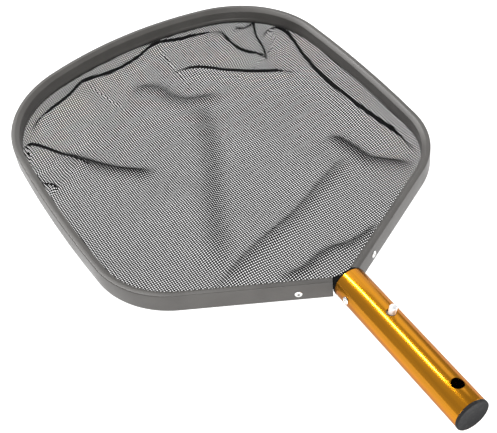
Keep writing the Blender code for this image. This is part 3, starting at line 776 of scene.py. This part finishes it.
def make_hem():
    """The stitched tape round the net, inside the groove."""
    return make_ring("net_hem_tape", rounded(HEM_SECTION, 0.3, 3), "net_hem")


# ---------------------------------------------------------------------------------------------
# Handle
# ---------------------------------------------------------------------------------------------


def make_tube():
    """The handle tube with rounded ends, and the snap buttons' hole and the cross hole drilled through it."""
    inner = TUBE_RADIUS - TUBE_WALL
    back = -TUBE_LENGTH
    edge = 0.3
    profile = (
        arc((TUBE_RADIUS - edge, -edge), edge, 90, 0, 4)
        + [(TUBE_RADIUS, back * share) for share in (0.2, 0.4, 0.6, 0.8)]
        + arc((TUBE_RADIUS - edge, back + edge), edge, 360, 270, 4)
        + [(inner, back), (inner, 0.0)]
    )
    mesh = turned(profile, 128, close=True)
    mesh.transform(Matrix.Rotation(-math.pi / 2, 4, "X"))
    mesh.transform(Matrix.Translation((0.0, TUBE_FRONT * MM, 0.0)))
    gold = gold_anodised()
    tube = add_piece("handle_tube_gold", mesh, gold, HANDLE, "skimmer", ["handle_tube"])
    for radius, y in ((BUTTON_HOLE_RADIUS, BUTTON_HOLE_Y), (END_HOLE_RADIUS, END_HOLE_Y)):
        cut_across(tube, radius, y)
    return tube


def cut_across(tube, radius, y):
    """Drill a hole across the tube, along the handle's own Z."""
    mesh = bpy.data.meshes.new("drill")
    shape = bmesh.new()
    size = {"radius1": radius * MM, "radius2": radius * MM, "depth": 4 * TUBE_RADIUS * MM}
    bmesh.ops.create_cone(shape, cap_ends=True, segments=64, **size)
    shape.to_mesh(mesh)
    shape.free()
    drill = bpy.data.objects.new("drill", mesh)
    bpy.context.scene.collection.objects.link(drill)
    drill.matrix_world = HANDLE @ Matrix.Translation((0.0, y * MM, 0.0))
    cut = tube.modifiers.new("hole", "BOOLEAN")
    cut.object = drill
    cut.solver = "EXACT"
    bpy.context.view_layer.update()
    evaluated = tube.evaluated_get(bpy.context.evaluated_depsgraph_get())
    tube.modifiers.clear()
    tube.data = bpy.data.meshes.new_from_object(evaluated)
    bpy.data.objects.remove(drill, do_unlink=True)
    smooth(tube.data, 40.0)


def make_plug():
    """The moulded plug: a hollow skirt inside the tube and a flange with a shallow ring on its face."""
    bore = TUBE_RADIUS - TUBE_WALL - 0.3
    profile = (
        [(0.0, 0.5), (bore - 1.8, 0.5), (bore - 1.8, 12.0)]
        + arc((bore - 0.6, 11.4), 0.6, 90, 0, 4)
        + [(bore, 0.0), (PLUG_RADIUS - 0.3, 0.0)]
        + arc((PLUG_RADIUS - 0.3, -0.3), 0.3, 90, 0, 3)
        + arc((PLUG_RADIUS - 0.7, 0.7 - PLUG_FLANGE), 0.7, 0, -90, 6)
        + [(12.6, -PLUG_FLANGE), (12.4, 0.08 - PLUG_FLANGE), (0.0, 0.08 - PLUG_FLANGE)]
    )
    mesh = turned(profile, 96)
    mesh.transform(Matrix.Rotation(-math.pi / 2, 4, "X"))
    mesh.transform(Matrix.Translation((0.0, (PLUG_FACE_Y + PLUG_FLANGE) * MM, 0.0)))
    plastic = black_plastic("plug_plastic", 0.02)
    return add_piece("end_plug_moulded", mesh, plastic, HANDLE, "skimmer", ["end_plug"])


def arm_matrix(side):
    """A frame at an arm's rivet whose +Z runs inward through the rail's outer wall."""
    along = Vector((side * math.cos(FRONT_HEADING), math.sin(FRONT_HEADING), 0.0))
    inward = Vector((-side * math.sin(FRONT_HEADING), math.cos(FRONT_HEADING), 0.0))
    up = Vector((0.0, 0.0, 1.0))
    matrix = Matrix((up.cross(inward), up, inward)).transposed().to_4x4()
    matrix.translation = (along * ARM_RIVET[0] + up * ARM_RIVET[1]) * MM
    return DESIGN @ matrix


def handle_rivet_matrix(side):
    """A frame at the tube's side rivet whose +Z runs inward through the tube's wall."""
    matrix = Matrix.Rotation(-side * math.pi / 2, 4, "Y")
    matrix.translation = Vector((side * TUBE_RADIUS, HANDLE_RIVET_Y, 0.0)) * MM
    return HANDLE @ matrix


# The rivet's dome and its crater: shares of the head's radius, and heights.
RIVET_DOME = (
    (0.985, -0.36), (0.93, -0.55), (0.84, -0.75), (0.7, -0.93), (0.52, -1.05),
    (0.42, -1.09), (0.36, -1.05), (0.32, -0.9),
)


def make_rivet(label, matrix, grip, metal, steel):
    """A set pop rivet: domed sleeve with a crater, and the broken end of its mandrel."""
    head = 3.2
    blind = grip + 1.6
    sleeve = (
        [(0.95, blind), (1.8, blind)]
        + arc((2.0, blind - 0.4), 0.4, 90, 0, 4)
        + [(2.1, grip + 0.2), (1.6, grip + 0.2), (1.6, -0.1)]
        + arc((head - 0.15, -0.25), 0.15, 90, 0, 3)
        + [(share * head, height) for share, height in RIVET_DOME]
        + [(0.95, -0.55)]
    )
    mandrel = [
        (0.0, blind + 0.4),
        (1.0, blind + 0.35),
        (1.25, blind + 0.12),
        (0.8, blind + 0.12),
        (0.8, -0.45),
        (0.72, -0.5),
        (0.55, -0.42),
        (0.3, -0.5),
        (0.0, -0.36),
    ]
    head_mesh = turned(sleeve, 48, close=True)
    add_piece(f"{label}_head", head_mesh, metal, matrix, "skimmer", [f"{label}_sleeve"])
    pin_mesh = turned(mandrel, 24)
    add_piece(f"{label}_pin", pin_mesh, steel, matrix, "skimmer", [f"{label}_mandrel"])


ARM_GRIP = 2.35
HANDLE_GRIP = 4.9


def make_rivets():
    """Two rivets through the rail's arms and two through the tube, each gripping the yoke."""
    metal = bright_metal("rivet_aluminium", (0.86, 0.86, 0.85), 0.22, 1400.0, 0.2)
    steel = bright_metal("mandrel_steel", (0.16, 0.15, 0.14), 0.45, 1800.0, 0.25)
    for side, word in ((-1, "left"), (1, "right")):
        make_rivet(f"arm_rivet_{word}", arm_matrix(side), ARM_GRIP, metal, steel)
        make_rivet(f"handle_rivet_{word}", handle_rivet_matrix(side), HANDLE_GRIP, metal, steel)


# ---------------------------------------------------------------------------------------------
# Snap buttons
# ---------------------------------------------------------------------------------------------

# Where a button's seat lies in its leg's frame: along the leg, up from the hinge, and its tilt.
LEG_REACH = 48.0
PAD_RISE = 7.76
PAD_LEAN = math.radians(6.0)


def hinge_matrix(joint):
    """The leg's own frame: X along the hinge, Y along the tube, Z outwards."""
    across = Vector(joint["axis"]).normalized()
    along = (DESIGN.to_3x3() @ Vector((0.0, 1.0, 0.0))).normalized()
    outward = across.cross(along).normalized()
    matrix = Matrix((across, along, outward)).transposed().to_4x4()
    matrix.translation = Vector(joint["pos_m"])
    return matrix


def make_button(word, joint, metal):
    """A turned button with a domed tip and a neck riveted into its leg. It turns with the leg's joint."""
    radius = 3.2
    length = 10.9
    profile = (
        [(0.0, length)]
        + arc((radius - 1.3, length - 1.45), 1.3, 82, 0, 8)
        + [(radius, 0.75), (radius - 0.15, 0.55), (1.6, 0.55), (1.6, -0.55), (2.7, -0.55)]
        + [(2.55, -1.1), (1.9, -1.4), (0.0, -1.45)]
    )
    seat = Matrix.Translation((0.0, LEG_REACH * MM, PAD_RISE * MM)) @ Matrix.Rotation(PAD_LEAN, 4, "X")
    mesh = turned(profile, 64)
    mesh.transform(hinge_matrix(joint) @ seat)
    node = f"snap_button_{word}"
    return add_piece(f"{node}_pin", mesh, metal, Matrix.Identity(4), joint["child"], [node])


def make_buttons():
    """One button for each leg of the spring."""
    metal = bright_metal("button_plating", (0.93, 0.92, 0.93), 0.42, 900.0, 0.15)
    for joint in frame["joints"]:
        make_button(joint["child"].split("_")[1], joint, metal)


# ---------------------------------------------------------------------------------------------
# Camera, floor and light
# ---------------------------------------------------------------------------------------------

VIEW_AZIMUTH = math.radians(-25.77)
VIEW_HEIGHT = math.radians(45.65)
VIEW_ROLL = math.radians(-7.36)
VIEW_DISTANCE = 964.4
VIEW_TARGET = (-24.9, 124.0, 0.0)
VIEW_LENS = 80.46
VIEW_SHIFT = (0.006, 0.0043)


def make_camera():
    """The photograph's viewpoint, fitted in the design frame: in front, from above, a little rolled."""
    data = bpy.data.cameras.new("camera")
    camera = bpy.data.objects.new("camera", data)
    bpy.context.scene.collection.objects.link(camera)
    a, e, r = VIEW_AZIMUTH, VIEW_HEIGHT, VIEW_ROLL
    back = Vector((math.sin(a) * math.cos(e), -math.cos(a) * math.cos(e), math.sin(e)))
    right = Vector((0.0, 0.0, 1.0)).cross(back).normalized()
    up = back.cross(right)
    rolled = (right * math.cos(r) + up * math.sin(r), up * math.cos(r) - right * math.sin(r), back)
    matrix = Matrix(rolled).transposed().to_4x4()
    matrix.translation = (Vector(VIEW_TARGET) + back * VIEW_DISTANCE) * MM
    camera.matrix_world = DESIGN @ matrix
    data.lens = VIEW_LENS
    data.sensor_width = 36.0
    data.shift_x, data.shift_y = VIEW_SHIFT
    data.clip_start = 0.01
    bpy.context.scene.camera = camera
    return camera


def make_floor():
    """A white floor that glows evenly, so the object stands on it without a shadow."""
    mesh = bpy.data.meshes.new("floor")
    shape = bmesh.new()
    bmesh.ops.create_grid(shape, x_segments=1, y_segments=1, size=6.0)
    shape.to_mesh(mesh)
    shape.free()
    floor = bpy.data.objects.new("floor", mesh)
    bpy.context.scene.collection.objects.link(floor)
    floor.location.z = -0.0002
    glow = {"Emission_Color": (1.0, 1.0, 1.0, 1.0), "Emission_Strength": 1.0}
    shader = Shader("floor", (0.5, 0.5, 0.5), 0.9, **glow)
    mesh.materials.append(shader.material)


def area_light(name, direction, distance, size, power):
    """A rectangular light that faces the object from a direction, with sizes in metres and power in watts."""
    data = bpy.data.lights.new(name, "AREA")
    data.shape = "RECTANGLE"
    data.size, data.size_y = size
    data.energy = power
    light = bpy.data.objects.new(name, data)
    bpy.context.scene.collection.objects.link(light)
    way = Vector(direction).normalized()
    light.location = way * distance
    light.rotation_euler = way.to_track_quat("Z", "Y").to_matrix().to_euler()
    return light


# How bright the white world is: to the camera, all round, and in a lobe behind on the left, which the
# tube mirrors. The lobe's edge and its middle are given as cosines from its direction.
SEEN_BRIGHTNESS = 0.95
ROOM_BRIGHTNESS = 0.5
LOBE_BRIGHTNESS = 0.66
LOBE_WAY = (-0.6, 0.63, 0.4)
LOBE_EDGE = 0.3
LOBE_MIDDLE = 0.95


def make_world():
    """An even white studio with one brighter side."""
    world = bpy.data.worlds.new("studio")
    bpy.context.scene.world = world
    world.use_nodes = True
    nodes = world.node_tree.nodes
    links = world.node_tree.links
    background = nodes["Background"]
    way = nodes.new("ShaderNodeTexCoord").outputs["Generated"]
    towards = nodes.new("ShaderNodeVectorMath")
    towards.operation = "DOT_PRODUCT"
    links.new(way, towards.inputs[0])
    towards.inputs[1].default_value = Vector(LOBE_WAY).normalized()
    shade = nodes.new("ShaderNodeMapRange")
    shade.interpolation_type = "SMOOTHSTEP"
    links.new(towards.outputs["Value"], shade.inputs[0])
    span = (LOBE_EDGE, LOBE_MIDDLE, ROOM_BRIGHTNESS, LOBE_BRIGHTNESS)
    for key, value in enumerate(span, start=1):
        shade.inputs[key].default_value = value
    camera_ray = nodes.new("ShaderNodeLightPath").outputs["Is Camera Ray"]
    strength = nodes.new("ShaderNodeMix")
    links.new(camera_ray, strength.inputs[0])
    links.new(shade.outputs[0], strength.inputs[2])
    strength.inputs[3].default_value = SEEN_BRIGHTNESS
    links.new(strength.outputs[0], background.inputs["Strength"])
    background.inputs["Color"].default_value = (1.0, 1.0, 1.0, 1.0)


def make_lights():
    """Low key and fill for the rail's walls, a panel for the tube's right side, a strip for its line."""
    make_world()
    area_light("key", (-0.55, -0.9, 0.28), 2.2, (1.6, 0.9), 31.0)
    area_light("fill", (0.9, -0.5, 0.36), 2.4, (1.6, 1.1), 20.0)
    area_light("panel", (0.45, 0.63, 0.42), 2.0, (1.9, 1.9), 11.0)
    area_light("streak", (-0.144, 0.63, 0.763), 2.0, (0.14, 1.4), 38.0)


def assign(node, material):
    """Give a CAD node that stays a new material."""
    piece = frame["nodes"][node]
    piece.data.materials.clear()
    piece.data.materials.append(material)


def build():
    """All of the object, its studio and its camera."""
    bpy.context.scene.view_settings.view_transform = "Standard"
    make_camera()
    make_floor()
    make_lights()
    make_rail()
    net, size, area = make_net()
    hem = make_hem()
    make_cord()
    make_tube()
    make_plug()
    make_rivets()
    make_buttons()
    nylon = black_plastic()
    assign("yoke", nylon)
    spring = bright_metal("spring_steel", (0.5, 0.5, 0.49), 0.3, 700.0, 0.2)
    for node in ("snap_spring_bend", "snap_leg_upper", "snap_leg_lower"):
        assign(node, spring)


build()
